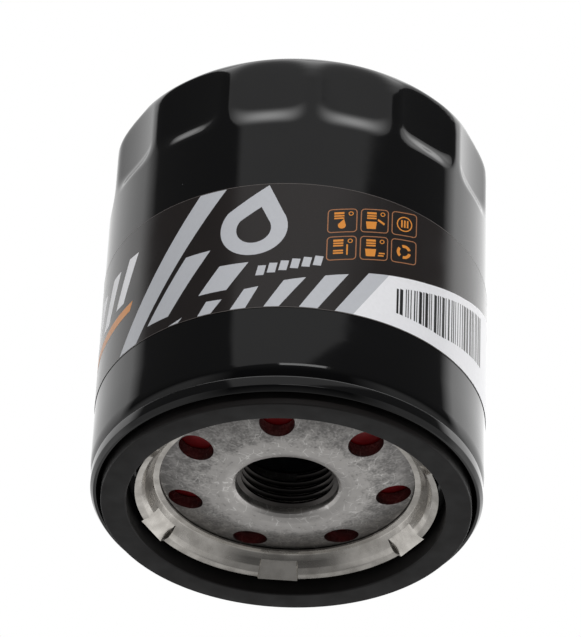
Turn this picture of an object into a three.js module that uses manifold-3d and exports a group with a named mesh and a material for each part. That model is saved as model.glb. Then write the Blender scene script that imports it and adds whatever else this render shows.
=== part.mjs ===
// Spin-on oil filter for a small engine: a drawn can with a fluted end, a seamed-on lid that
// carries the gasket, a threaded base plate with its anti-drain valve, and a sprung filter
// element with a bypass valve. Millimetres, +Z towards the closed end of the can, and the
// origin at the centre of the gasket's sealing face.
import * as THREE from 'three';
import { mergeVertices } from 'three/addons/utils/BufferGeometryUtils.js';
import Module from 'manifold-3d';

const wasm = await Module();
wasm.setup();

// Driving dimensions
const CAN_RADIUS = 37;
const CAN_HEIGHT = 86.5;
const CAN_WALL = 0.5;
const NECK_RADIUS = 36.1;
const NECK_TOP = 6.3;
const SHOULDER_TOP = 8.6;
const CORNER_START = 74.5;
const FLUTES = 14;
const FLUTE_DEPTH = 1.3;
const FLUTE_START = 64;
const FLUTE_FULL = 68;
const FLUTE_FADE = [24, 33]; // radii between which the flutes run out on the closed end
const FLUTE_PHASE = THREE.MathUtils.degToRad(-75);

const LABEL_BOTTOM = 19.8;
const LABEL_TOP = 48.4;
const LABEL_FILM = 0.08;
const LABEL_GAP = 0.02;

const GASKET_INNER = 29.9;
const GASKET_OUTER = 34.7;
const GASKET_HEIGHT = 5.7;

const SEAM_RADIUS = 36.8;
const SEAM_TOP = 4.9;
const SEAM_RIM = 1.8;
const LID_FLOOR = 5.8;
const LID_SHEET = 0.6;
const LID_INNER = 26.6;
const LID_CLEARANCE = 0.35;

const RETAINER_FACE = [[24, 6.1], [25.3, 6.1], [25.9, 5.4], [26.5, 4.1], [27.2, 3.1], [28.3, 2.7]];
const RETAINER_SHEET = 0.4;
const TABS = 6;
const TAB_REACH = 0.7;
const TAB_ROOT = 27;
const TAB_PHASE = THREE.MathUtils.degToRad(92);

// The dished plate's lower face, as (radius, height), outside the mouth of its thread.
const DISH_CREST = [12, 4.5];
const DISH_VALLEY = [15.5, 4.75];
const DISH_INLETS = [20.2, 5.75];
const DISH_RIM = [24, 6.8];
const THREAD_RADIUS = 8.75;
const COLLAR_RADIUS = 11.3;
const COLLAR_TOP = 14.5;
const PLATE_THICKNESS = 2.5;
const PLATE_RIM = 31;
const INLETS = 7;
const INLET_RADIUS = 3.3;
const INLET_CIRCLE = DISH_INLETS[0];
const INLET_PHASE = THREE.MathUtils.degToRad(6.2);
const LIP_LIFT = 0.3; // stands the anti-drain lip off the plate, as a shut valve without preload
const LIP_INNER = 14.75;
const LIP_OUTER = 26;
const HUB_OUTER = 13.6;
const HUB_FOOT = [14.4, 8.2];

const ELEMENT_BOTTOM = 16.4;
const ELEMENT_TOP = 66;
const CAP_RADIUS = 33;
const CAP_SHEET = 0.5;
const CAP_RIM = 3;
const POTTING = 1.8;
const TUBE_RADIUS = 13.4;
const TUBE_WALL = 0.6;
const PLEATS = 24;
const PLEAT_OUTER = 31.6;
const PLEAT_INNER = 16;
const PLEAT_TIP = 1.5; // half the width of a pleat's flat outer edge
const PLEAT_ROOT = 0.75; // half the width of the flat between two pleats
const MEDIA_SHEET = 0.7;
const WIRE_SHEET = 0.3;
const PUNCH_ROWS = 5;
const PUNCH_COLUMNS = 7;
const PUNCH_RADIUS = 1.8;
const PUNCH_PITCH = 8;
const ELEMENT_SPRING = { radius: 16, wire: 1.8, turns: 3, headroom: 2.3 };

const BYPASS_HOLE = 6;
const POPPET_RADIUS = 8.6;
const CAGE_FLOOR = 48.5;
const CAGE_RADIUS = 12;
const CAGE_WALL = [10, 10.6];
const CAGE_HOLE = 2.8;
const CAGE_SHEET = 0.6;
const SEAL_HEIGHT = 1.2;
const STEM_RADIUS = 2;
const STEM_LENGTH = 7;
const BYPASS_SPRING = { radius: 5.2, wire: 1, turns: 5 };
const GAP = 0.15;

const ROUND = 4 * FLUTES;
const ROUND_PLATE = 6 * INLETS;
const ROUND_SMALL = 2 * FLUTES;

const finishes = {
  blackPaint: { color: 0x17181a, roughness: 0.22, metalness: 0.1 },
  wrapFilm: { color: 0x1c1a19, roughness: 0.4, metalness: 0 },
  zincPlate: { color: 0xa9a8a8, roughness: 0.5, metalness: 0.9 },
  tinPlate: { color: 0xd3d1cc, roughness: 0.25, metalness: 1 },
  rubber: { color: 0x2b2929, roughness: 0.8, metalness: 0 },
  redSilicone: { color: 0x8c1016, roughness: 0.5, metalness: 0 },
  bareSteel: { color: 0xb4b6b8, roughness: 0.35, metalness: 1 },
  springSteel: { color: 0x7d8083, roughness: 0.3, metalness: 1 },
  media: { color: 0xe6dfc8, roughness: 0.95, metalness: 0 },
  potting: { color: 0x39383a, roughness: 0.6, metalness: 0 },
};

const group = new THREE.Group();

function place(name, geometry, finish) {
  const mesh = new THREE.Mesh(geometry, new THREE.MeshStandardMaterial(finishes[finish]));
  mesh.name = name;
  group.add(mesh);
  return mesh;
}

// A ring or cup turned about Z. The outline runs anticlockwise in the (radius, height) plane,
// and it closes on itself unless both of its ends lie on the axis.
function turned(outline, segments = ROUND, startAngle = FLUTE_PHASE) {
  const points = outline.map(([radius, height]) => new THREE.Vector2(radius, height));
  const onAxis = outline[0][0] === 0 && outline.at(-1)[0] === 0;
  if (!onAxis) points.push(points[0].clone());
  const lathe = new THREE.LatheGeometry(points, segments, startAngle + Math.PI / 2);
  return lathe.rotateX(Math.PI / 2);
}

// The outline of a sheet of even thickness, from the points of its lower or outer face.
function sheetOutline(face, thickness) {
  const normals = face.map((point, i) => {
    const before = face[Math.max(i - 1, 0)];
    const after = face[Math.min(i + 1, face.length - 1)];
    const run = new THREE.Vector2(after[0] - before[0], after[1] - before[1]).normalize();
    return new THREE.Vector2(-run.y, run.x);
  });
  const back = face.map(([radius, height], i) => [
    Math.max(radius + thickness * normals[i].x, 0),
    height + thickness * normals[i].y,
  ]);
  return [...face, ...back.reverse()];
}

// Pulls each point of a turned shape in towards the axis by inset(radius, angle, height).
function drawIn(geometry, inset) {
  const position = geometry.attributes.position;
  const point = new THREE.Vector3();
  for (let i = 0; i < position.count; i++) {
    point.fromBufferAttribute(position, i);
    const radius = Math.hypot(point.x, point.y);
    if (radius === 0) continue;
    const scale = 1 - inset(radius, Math.atan2(point.y, point.x), point.z) / radius;
    position.setXYZ(i, point.x * scale, point.y * scale, point.z);
  }
  return geometry;
}

function cutSolid(geometry) {
  const bare = geometry.clone();
  bare.deleteAttribute('normal');
  bare.deleteAttribute('uv');
  const merged = mergeVertices(bare, 1e-4);
  const mesh = new wasm.Mesh({
    numProp: 3,
    vertProperties: new Float32Array(merged.attributes.position.array),
    triVerts: new Uint32Array(merged.index.array),
  });
  return new wasm.Manifold(mesh);
}

function meshOf(solid) {
  const { vertProperties, triVerts } = solid.getMesh();
  const geometry = new THREE.BufferGeometry();
  geometry.setAttribute('position', new THREE.BufferAttribute(vertProperties, 3));
  geometry.setIndex(new THREE.BufferAttribute(triVerts, 1));
  return geometry;
}

function cutAll(geometry, cutters) {
  let solid = cutSolid(geometry);
  for (const cutter of cutters) solid = solid.subtract(cutSolid(cutter));
  return meshOf(solid);
}

// How far a wrench flute is scooped in: deepest down its middle, and fading out both where
// it runs down into the round wall and where it runs over onto the flat end.
function flute(radius, angle, height) {
  const across = 0.5 + 0.5 * Math.cos(FLUTES * (angle - FLUTE_PHASE));
  const start = THREE.MathUtils.smoothstep(height, FLUTE_START, FLUTE_FULL);
  const end = THREE.MathUtils.smoothstep(radius, ...FLUTE_FADE);
  return FLUTE_DEPTH * across * start * end;
}

function canister() {
  const outer = [
    [NECK_RADIUS, SEAM_RIM + 1],
    [NECK_RADIUS, NECK_TOP],
    [NECK_RADIUS + 0.35, NECK_TOP + 0.7],
    [CAN_RADIUS, SHOULDER_TOP],
    [CAN_RADIUS, FLUTE_START],
    [CAN_RADIUS, (FLUTE_START + FLUTE_FULL) / 2],
    [CAN_RADIUS, FLUTE_FULL],
    [CAN_RADIUS, CORNER_START],
    [36.5, 78.3],
    [35, 80.3],
    [32.2, 81.9],
    [26.5, 83.6],
    [18, 85.2],
    [9, CAN_HEIGHT],
    [0, CAN_HEIGHT],
  ];
  const outline = sheetOutline(outer, CAN_WALL);
  // Begin on the axis, inside the closed end.
  const start = outline.length / 2;
  const can = turned([...outline.slice(start), ...outline.slice(0, start)]);
  place('canister', drawIn(can, flute), 'blackPaint');

  const film = CAN_RADIUS + LABEL_GAP;
  place('wrap_label', turned([
    [film, LABEL_BOTTOM],
    [film + LABEL_FILM, LABEL_BOTTOM],
    [film + LABEL_FILM, LABEL_TOP],
    [film, LABEL_TOP],
  ]), 'wrapFilm');
}

function baseEnd() {
  // A dished plate, its middle drawn inwards into the threaded collar.
  const top = PLATE_THICKNESS;
  const plate = turned([
    [THREAD_RADIUS, 6],
    [9.5, 5.3],
    [10.4, 4.7],
    DISH_CREST,
    DISH_VALLEY,
    DISH_INLETS,
    DISH_RIM,
    [PLATE_RIM, DISH_RIM[1]],
    [PLATE_RIM, DISH_RIM[1] + top],
    [DISH_RIM[0], DISH_RIM[1] + top],
    [DISH_INLETS[0], DISH_INLETS[1] + top],
    [DISH_VALLEY[0], DISH_VALLEY[1] + top],
    [COLLAR_RADIUS + 1, 4.9 + top],
    [COLLAR_RADIUS, 5.7 + top],
    [COLLAR_RADIUS, COLLAR_TOP],
    [THREAD_RADIUS, COLLAR_TOP],
  ], ROUND_PLATE, INLET_PHASE);
  const drills = [];
  const drillLength = 20;
  for (let i = 0; i < INLETS; i++) {
    const angle = INLET_PHASE + (i * 2 * Math.PI) / INLETS;
    const drill = new THREE.CylinderGeometry(INLET_RADIUS, INLET_RADIUS, drillLength, 12);
    drill.rotateX(Math.PI / 2);
    drill.translate(INLET_CIRCLE * Math.cos(angle), INLET_CIRCLE * Math.sin(angle), 5);
    drills.push(drill);
  }
  place('base_plate', cutAll(plate, drills), 'zincPlate');

  // The lid's wall comes down beside the gasket and turns back up outside the can's edge.
  const wall = GASKET_OUTER + LID_CLEARANCE;
  place('seam_lid', turned([
    [LID_INNER, LID_FLOOR],
    [wall, LID_FLOOR],
    [wall, SEAM_RIM + 0.5],
    [wall + 0.5, SEAM_RIM],
    [SEAM_RADIUS - 0.5, SEAM_RIM],
    [SEAM_RADIUS, SEAM_RIM + 0.8],
    [SEAM_RADIUS, SEAM_TOP - 0.3],
    [SEAM_RADIUS - 0.2, SEAM_TOP],
    [NECK_RADIUS + GAP, SEAM_TOP],
    [NECK_RADIUS + GAP, SEAM_RIM + 0.8],
    [NECK_RADIUS - CAN_WALL - GAP, SEAM_RIM + 0.8],
    [NECK_RADIUS - CAN_WALL - GAP, LID_FLOOR + LID_SHEET],
    [LID_INNER, LID_FLOOR + LID_SHEET],
  ]), 'blackPaint');

  place('gasket', turned([
    [GASKET_INNER, 0],
    [GASKET_OUTER, 0],
    [GASKET_OUTER, GASKET_HEIGHT],
    [GASKET_INNER, GASKET_HEIGHT],
  ]), 'rubber');

  // A flanged ring that flares out behind the gasket, with tabs pushed out to grip it.
  const retainer = turned(sheetOutline(RETAINER_FACE, RETAINER_SHEET), 8 * TABS, TAB_PHASE);
  const tab = (radius, angle) => {
    const round = Math.cos(TABS * (angle - TAB_PHASE));
    return radius > TAB_ROOT && round > 0.6 ? -TAB_REACH : 0;
  };
  place('gasket_retainer', drawIn(retainer, tab), 'tinPlate');
}

function antiDrainValve() {
  // The hub grips the collar and seals on the element; the lip lies over the inlets.
  const hub = COLLAR_RADIUS + GAP;
  place('anti_drain_valve_hub', turned([
    [hub, HUB_FOOT[1] + 1],
    [HUB_FOOT[0] - 1.2, HUB_FOOT[1]],
    HUB_FOOT,
    [HUB_FOOT[0], HUB_FOOT[1] + 1.4],
    [HUB_OUTER, HUB_FOOT[1] + 2.4],
    [HUB_OUTER, ELEMENT_BOTTOM - 2 * GAP],
    [hub, ELEMENT_BOTTOM - 2 * GAP],
  ], ROUND_SMALL), 'redSilicone');
  const over = PLATE_THICKNESS + LIP_LIFT;
  place('anti_drain_valve_lip', turned([
    [LIP_INNER, DISH_VALLEY[1] + over],
    [DISH_VALLEY[0], DISH_VALLEY[1] + over],
    [DISH_INLETS[0], DISH_INLETS[1] + over],
    [DISH_RIM[0], DISH_RIM[1] + over],
    [LIP_OUTER, DISH_RIM[1] + over],
    [LIP_OUTER, DISH_RIM[1] + over + 0.8],
    [DISH_INLETS[0], DISH_INLETS[1] + over + 1.25],
    [LIP_INNER, DISH_VALLEY[1] + over + 1.45],
  ], ROUND_SMALL), 'redSilicone');
}

// Points round a ring of square-ended pleats, moved out from the sheet's middle by an offset.
function pleatPoints(offset) {
  const corners = [];
  for (let i = 0; i < PLEATS; i++) {
    const pitch = (2 * Math.PI) / PLEATS;
    const tip = PLEAT_TIP / PLEAT_OUTER;
    const root = pitch / 2 - PLEAT_ROOT / PLEAT_INNER;
    corners.push([PLEAT_OUTER, i * pitch - tip], [PLEAT_OUTER, i * pitch + tip]);
    corners.push([PLEAT_INNER, i * pitch + root], [PLEAT_INNER, (i + 1) * pitch - root]);
  }
  const base = corners.map(([radius, angle]) =>
    new THREE.Vector2(radius * Math.cos(angle), radius * Math.sin(angle)));
  return base.map((corner, i) => {
    const before = base[(i + base.length - 1) % base.length];
    const after = base[(i + 1) % base.length];
    const into = corner.clone().sub(before).normalize();
    const away = after.clone().sub(corner).normalize();
    const mitre = new THREE.Vector2(into.y + away.y, -into.x - away.x);
    return corner.clone().addScaledVector(mitre, offset / (1 + into.dot(away)));
  });
}

function pleatedSheet(outerOffset, thickness, bottom, top) {
  const shape = new THREE.Shape(pleatPoints(outerOffset));
  shape.holes.push(new THREE.Path(pleatPoints(outerOffset - thickness)));
  const geometry = new THREE.ExtrudeGeometry(shape, { depth: top - bottom, bevelEnabled: false });
  return geometry.translate(0, 0, bottom);
}

class Helix extends THREE.Curve {
  constructor(radius, bottom, top, turns) {
    super();
    Object.assign(this, { radius, bottom, top, turns });
  }

  getPoint(t) {
    const angle = t * this.turns * 2 * Math.PI;
    const height = this.bottom + t * (this.top - this.bottom);
    return new THREE.Vector3(this.radius * Math.cos(angle), this.radius * Math.sin(angle), height);
  }
}

function coilSpring(radius, wire, bottom, top, turns) {
  const section = new THREE.Shape();
  const sides = 6;
  for (let i = 0; i < sides; i++) {
    const angle = (i * 2 * Math.PI) / sides;
    const at = [(wire / 2) * Math.cos(angle), (wire / 2) * Math.sin(angle)];
    if (i === 0) section.moveTo(...at);
    else section.lineTo(...at);
  }
  const extrudePath = new Helix(radius, bottom + wire / 2, top - wire / 2, turns);
  return new THREE.ExtrudeGeometry(section, { steps: turns * 10, extrudePath });
}

function endCap(name, sheetHeight, rimEnd, hole) {
  const up = Math.sign(rimEnd - sheetHeight);
  const outline = [
    [hole, sheetHeight],
    [CAP_RADIUS, sheetHeight],
    [CAP_RADIUS, rimEnd],
    [CAP_RADIUS - CAP_SHEET, rimEnd],
    [CAP_RADIUS - CAP_SHEET, sheetHeight + up * CAP_SHEET],
    [hole, sheetHeight + up * CAP_SHEET],
  ];
  place(name, turned(up > 0 ? outline : outline.reverse(), ROUND_SMALL), 'bareSteel');
}

function element() {
  const floor = ELEMENT_BOTTOM + CAP_SHEET;
  const ceiling = ELEMENT_TOP - CAP_SHEET;
  endCap('lower_end_cap', ELEMENT_BOTTOM, ELEMENT_BOTTOM + CAP_RIM, 11.6);
  endCap('upper_end_cap', ELEMENT_TOP, ELEMENT_TOP - CAP_RIM, BYPASS_HOLE);

  const inner = TUBE_RADIUS + GAP;
  const outer = CAP_RADIUS - CAP_SHEET - GAP;
  const lowerBead = floor + GAP;
  const upperBead = ceiling - GAP - POTTING;
  for (const [name, bottom] of [['lower_potting', lowerBead], ['upper_potting', upperBead]]) {
    place(name, turned([
      [inner, bottom],
      [outer, bottom],
      [outer, bottom + POTTING],
      [inner, bottom + POTTING],
    ], ROUND_SMALL), 'potting');
  }

  const bottom = lowerBead + POTTING + GAP;
  const top = upperBead - GAP;
  place('filter_media', pleatedSheet(0, MEDIA_SHEET, bottom, top), 'media');
  const backing = -MEDIA_SHEET - GAP;
  place('wire_backing', pleatedSheet(backing, WIRE_SHEET, bottom, top), 'springSteel');

  // A folded strip that joins the two ends of the pleated pack at one pleat tip.
  const clip = new THREE.BoxGeometry(0.5, 2.6, top - bottom - 4);
  clip.translate(PLEAT_OUTER + 0.45, 0, (top + bottom) / 2);
  place('media_seam_clip', clip, 'bareSteel');

  const tube = turned([
    [TUBE_RADIUS - TUBE_WALL, floor + GAP],
    [TUBE_RADIUS, floor + GAP],
    [TUBE_RADIUS, ceiling - GAP],
    [TUBE_RADIUS - TUBE_WALL, ceiling - GAP],
  ], ROUND_SMALL);
  const punches = [];
  for (let row = 0; row < PUNCH_ROWS; row++) {
    for (let column = 0; column < PUNCH_COLUMNS; column++) {
      const angle = ((column + (row % 2) / 2) * 2 * Math.PI) / PUNCH_COLUMNS;
      const punch = new THREE.CylinderGeometry(PUNCH_RADIUS, PUNCH_RADIUS, 6, 6);
      punch.rotateZ(Math.PI / 2);
      punch.translate(TUBE_RADIUS, 0, floor + 7 + row * PUNCH_PITCH);
      punch.rotateZ(angle);
      punches.push(punch);
    }
  }
  place('centre_tube', cutAll(tube, punches), 'bareSteel');
}

function bypassValve() {
  const seat = ELEMENT_TOP - CAP_SHEET - GAP;
  place('bypass_seal', turned([
    [BYPASS_HOLE + 0.3, seat - SEAL_HEIGHT],
    [POPPET_RADIUS, seat - SEAL_HEIGHT],
    [POPPET_RADIUS, seat],
    [BYPASS_HOLE + 0.3, seat],
  ], ROUND_SMALL), 'rubber');

  const disc = seat - SEAL_HEIGHT - GAP;
  place('bypass_poppet', turned([
    [0, disc - STEM_LENGTH],
    [STEM_RADIUS, disc - STEM_LENGTH],
    [STEM_RADIUS, disc - 1.6],
    [POPPET_RADIUS - 1, disc - 1],
    [POPPET_RADIUS, disc - 1],
    [POPPET_RADIUS, disc],
    [0, disc],
  ], ROUND_SMALL), 'bareSteel');

  // A slotted cup that hangs from the upper cap and holds the spring under the poppet.
  const [wallInner, wallOuter] = CAGE_WALL;
  const cup = turned([
    [CAGE_HOLE, CAGE_FLOOR],
    [wallOuter - 2.2, CAGE_FLOOR],
    [wallOuter, CAGE_FLOOR + 3],
    [wallOuter, seat - CAGE_SHEET],
    [CAGE_RADIUS, seat - CAGE_SHEET],
    [CAGE_RADIUS, seat],
    [wallInner, seat],
    [wallInner, CAGE_FLOOR + 3.4],
    [wallInner - 1.8, CAGE_FLOOR + CAGE_SHEET],
    [CAGE_HOLE, CAGE_FLOOR + CAGE_SHEET],
  ], ROUND_SMALL);
  const slots = [];
  for (let i = 0; i < 4; i++) {
    const slot = new THREE.BoxGeometry(8, 6, 8);
    slot.translate(wallInner, 0, CAGE_FLOOR + 9);
    slot.rotateZ((i * Math.PI) / 2);
    slots.push(slot);
  }
  place('bypass_cage', cutAll(cup, slots), 'bareSteel');

  const { radius, wire, turns } = BYPASS_SPRING;
  const spring = coilSpring(radius, wire, CAGE_FLOOR + CAGE_SHEET + GAP, disc - 1.6 - GAP, turns);
  place('bypass_spring', spring, 'springSteel');
}

function elementSpring() {
  const { radius, wire, turns, headroom } = ELEMENT_SPRING;
  const spring = coilSpring(radius, wire, ELEMENT_TOP + GAP, CAN_HEIGHT - headroom, turns);
  place('element_spring', spring, 'springSteel');
}

canister();
baseEnd();
antiDrainValve();
element();
bypassValve();
elementSpring();

export default group;
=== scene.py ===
# Spin-on oil filter, seen from below at its mounting end. The frame's bodies carry the motion,
# and the visible pieces are modelled here around them. Lengths are in millimetres until
# a piece is finished.
import math
import random

import bmesh
import bpy
from mathutils import Matrix, Vector


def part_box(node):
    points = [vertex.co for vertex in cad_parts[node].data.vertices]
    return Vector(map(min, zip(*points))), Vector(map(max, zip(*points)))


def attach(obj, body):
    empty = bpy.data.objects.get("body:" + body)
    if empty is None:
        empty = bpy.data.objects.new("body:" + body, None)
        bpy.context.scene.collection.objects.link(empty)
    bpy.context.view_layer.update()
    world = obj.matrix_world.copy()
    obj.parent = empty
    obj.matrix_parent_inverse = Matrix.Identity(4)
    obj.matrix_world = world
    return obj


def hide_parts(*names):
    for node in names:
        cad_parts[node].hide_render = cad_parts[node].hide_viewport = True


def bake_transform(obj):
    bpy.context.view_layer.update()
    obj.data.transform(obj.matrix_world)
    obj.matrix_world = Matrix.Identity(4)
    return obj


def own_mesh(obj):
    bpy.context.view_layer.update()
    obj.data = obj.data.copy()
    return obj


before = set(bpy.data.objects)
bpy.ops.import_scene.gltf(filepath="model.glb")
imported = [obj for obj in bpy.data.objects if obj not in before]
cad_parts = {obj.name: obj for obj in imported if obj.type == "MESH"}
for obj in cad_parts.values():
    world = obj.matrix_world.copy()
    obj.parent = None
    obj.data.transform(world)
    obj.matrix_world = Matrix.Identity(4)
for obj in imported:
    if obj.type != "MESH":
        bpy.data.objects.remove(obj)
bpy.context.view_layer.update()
mm = 0.001
random.seed(7)


def cadBox(node):
    low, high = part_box(node)
    return low / mm, high / mm


def smoothStep(value, start, end):
    # 0 before start, 1 after end, and an easy curve between.
    t = min(max((value - start) / (end - start), 0), 1)
    return t * t * (3 - 2 * t)


def roundedPath(corners, closed=False):
    # Corners are (radius, height) or (radius, height, fillet radius). A fillet gets a point
    # every 12 degrees or so.
    points = []
    for i, corner in enumerate(corners):
        here = Vector(corner[:2])
        atEnd = not closed and i in (0, len(corners) - 1)
        if len(corner) == 2 or atEnd:
            points.append(here)
            continue
        back = (Vector(corners[i - 1][:2]) - here).normalized()
        ahead = (Vector(corners[(i + 1) % len(corners)][:2]) - here).normalized()
        half = back.angle(ahead) / 2
        centre = here + (back + ahead).normalized() * corner[2] / math.sin(half)
        spoke = here + back * corner[2] / math.tan(half) - centre
        sweep = math.copysign(math.pi - 2 * half, back.cross(ahead) * -1)
        steps = max(2, math.ceil(abs(math.degrees(sweep)) / 12))
        for k in range(steps + 1):
            points.append(centre + Matrix.Rotation(sweep * k / steps, 2) @ spoke)
    return points


def turnProfile(bm, points, steps, closed=True):
    # Turns a section of (radius, height) points all the way round the can's axis.
    verts = [bm.verts.new((point[0], 0, point[1])) for point in points]
    edges = [bm.edges.new(pair) for pair in zip(verts, verts[1:])]
    if closed:
        edges.append(bm.edges.new((verts[-1], verts[0])))
    bmesh.ops.spin(bm, geom=verts + edges, cent=(0, 0, 0), axis=(0, 0, 1), dvec=(0, 0, 0),
                   angle=2 * math.pi, steps=steps, use_merge=True, use_duplicate=False)
    bmesh.ops.remove_doubles(bm, verts=bm.verts, dist=0.0001)


def finishPiece(name, bm, material, body, standsFor=(), sharpAngle=32):
    # Makes the object, in metres. A piece with no body here is left unattached.
    bmesh.ops.recalc_face_normals(bm, faces=bm.faces)
    bmesh.ops.scale(bm, vec=(mm, mm, mm), verts=bm.verts)
    mesh = bpy.data.meshes.new(name)
    bm.to_mesh(mesh)
    bm.free()
    mesh.shade_smooth()
    mesh.set_sharp_from_angle(angle=math.radians(sharpAngle))
    mesh.materials.append(material)
    piece = bpy.data.objects.new(name, mesh)
    bpy.context.scene.collection.objects.link(piece)
    if body:
        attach(piece, body)
    if standsFor:
        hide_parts(*standsFor)
    return piece


def linearColour(hexValue):
    channels = [int(hexValue[i:i + 2], 16) / 255 for i in (0, 2, 4)]
    return tuple(c / 12.92 if c <= 0.04045 else ((c + 0.055) / 1.055) ** 2.4 for c in channels) + (1,)


def per(size):
    return 1 / (size * mm)      # texture scale of a pattern whose features are size millimetres across


def addNode(tree, kind, inputs=None, **settings):
    # An input is a number, a colour, a socket, or a node, which gives its first live output.
    node = tree.nodes.new(kind)
    for key, value in settings.items():
        setattr(node, key, value)
    for socket, value in (inputs or {}).items():
        if isinstance(value, bpy.types.Node):
            value = next(output for output in value.outputs if output.enabled)
        if isinstance(value, bpy.types.NodeSocket):
            tree.links.new(value, node.inputs[socket])
        else:
            node.inputs[socket].default_value = value
    return node


def startMaterial(name):
    # Sockets 1 to 4 of a Map Range are its two From and two To values, and sockets 6 and 7
    # of a colour Mix are its two colours.
    material = bpy.data.materials.new(name)
    material.use_nodes = True
    tree = material.node_tree
    tree.nodes.clear()
    place = addNode(tree, "ShaderNodeTexCoord").outputs["Object"]
    return material, tree, place


def glossEnamel():
    # Stoved alkyd enamel, sprayed on steel: deep black, clear reflections, a faint orange peel
    # and a few specks of dust caught in it.
    material, tree, place = startMaterial("gloss_black_enamel")
    dust = addNode(tree, "ShaderNodeTexVoronoi", {"Vector": place, "Scale": per(7)})
    speck = addNode(tree, "ShaderNodeMapRange", {"Value": dust, 1: 0.012, 2: 0.02, 3: 1, 4: 0})
    black, dusty = linearColour("0b0b0c"), linearColour("5a5a5c")
    colour = addNode(tree, "ShaderNodeMix", {"Factor": speck, 6: black, 7: dusty}, data_type="RGBA")
    haze = addNode(tree, "ShaderNodeTexNoise", {"Vector": place, "Scale": per(9), "Detail": 4})
    gloss = addNode(tree, "ShaderNodeMapRange", {"Value": haze, 1: 0.3, 2: 0.75, 3: 0.05, 4: 0.11})
    peel = addNode(tree, "ShaderNodeTexNoise", {"Vector": place, "Scale": per(1.6), "Detail": 1})
    bump = addNode(tree, "ShaderNodeBump", {"Height": peel, "Distance": 0.004 * mm, "Strength": 0.5})
    shader = addNode(tree, "ShaderNodeBsdfPrincipled",
                     {"Base Color": colour, "Roughness": gloss, "Normal": bump, "IOR": 1.5})
    addNode(tree, "ShaderNodeOutputMaterial", {"Surface": shader})
    return material


def satinFilm():
    # Printed polypropylene wrap with a satin overprint: a softer, slightly brown black.
    material, tree, place = startMaterial("satin_printed_film")
    cloud = addNode(tree, "ShaderNodeTexNoise", {"Vector": place, "Scale": per(5), "Detail": 3})
    brown, black = linearColour("262221"), linearColour("1d1a1a")
    colour = addNode(tree, "ShaderNodeMix", {"Factor": cloud, 6: brown, 7: black}, data_type="RGBA")
    gloss = addNode(tree, "ShaderNodeMapRange", {"Value": cloud, 1: 0.3, 2: 0.7, 3: 0.13, 4: 0.2})
    ripple = addNode(tree, "ShaderNodeTexNoise", {"Vector": place, "Scale": per(0.5), "Detail": 2})
    bump = addNode(tree, "ShaderNodeBump", {"Height": ripple, "Distance": 0.002 * mm, "Strength": 0.35})
    shader = addNode(tree, "ShaderNodeBsdfPrincipled",
                     {"Base Color": colour, "Roughness": gloss, "Normal": bump, "IOR": 1.48})
    addNode(tree, "ShaderNodeOutputMaterial", {"Surface": shader})
    return material


def printedInk(name, hexValue, roughness):
    # Screen ink on the film: an even matt layer with a trace of mottle.
    material, tree, place = startMaterial(name)
    mottle = addNode(tree, "ShaderNodeTexNoise", {"Vector": place, "Scale": per(0.7), "Detail": 3})
    full = linearColour(hexValue)
    thin = tuple(c * 0.9 for c in full[:3]) + (1,)
    colour = addNode(tree, "ShaderNodeMix", {"Factor": mottle, 6: full, 7: thin}, data_type="RGBA")
    shader = addNode(tree, "ShaderNodeBsdfPrincipled",
                     {"Base Color": colour, "Roughness": roughness, "IOR": 1.48})
    addNode(tree, "ShaderNodeOutputMaterial", {"Surface": shader})
    return material


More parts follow.
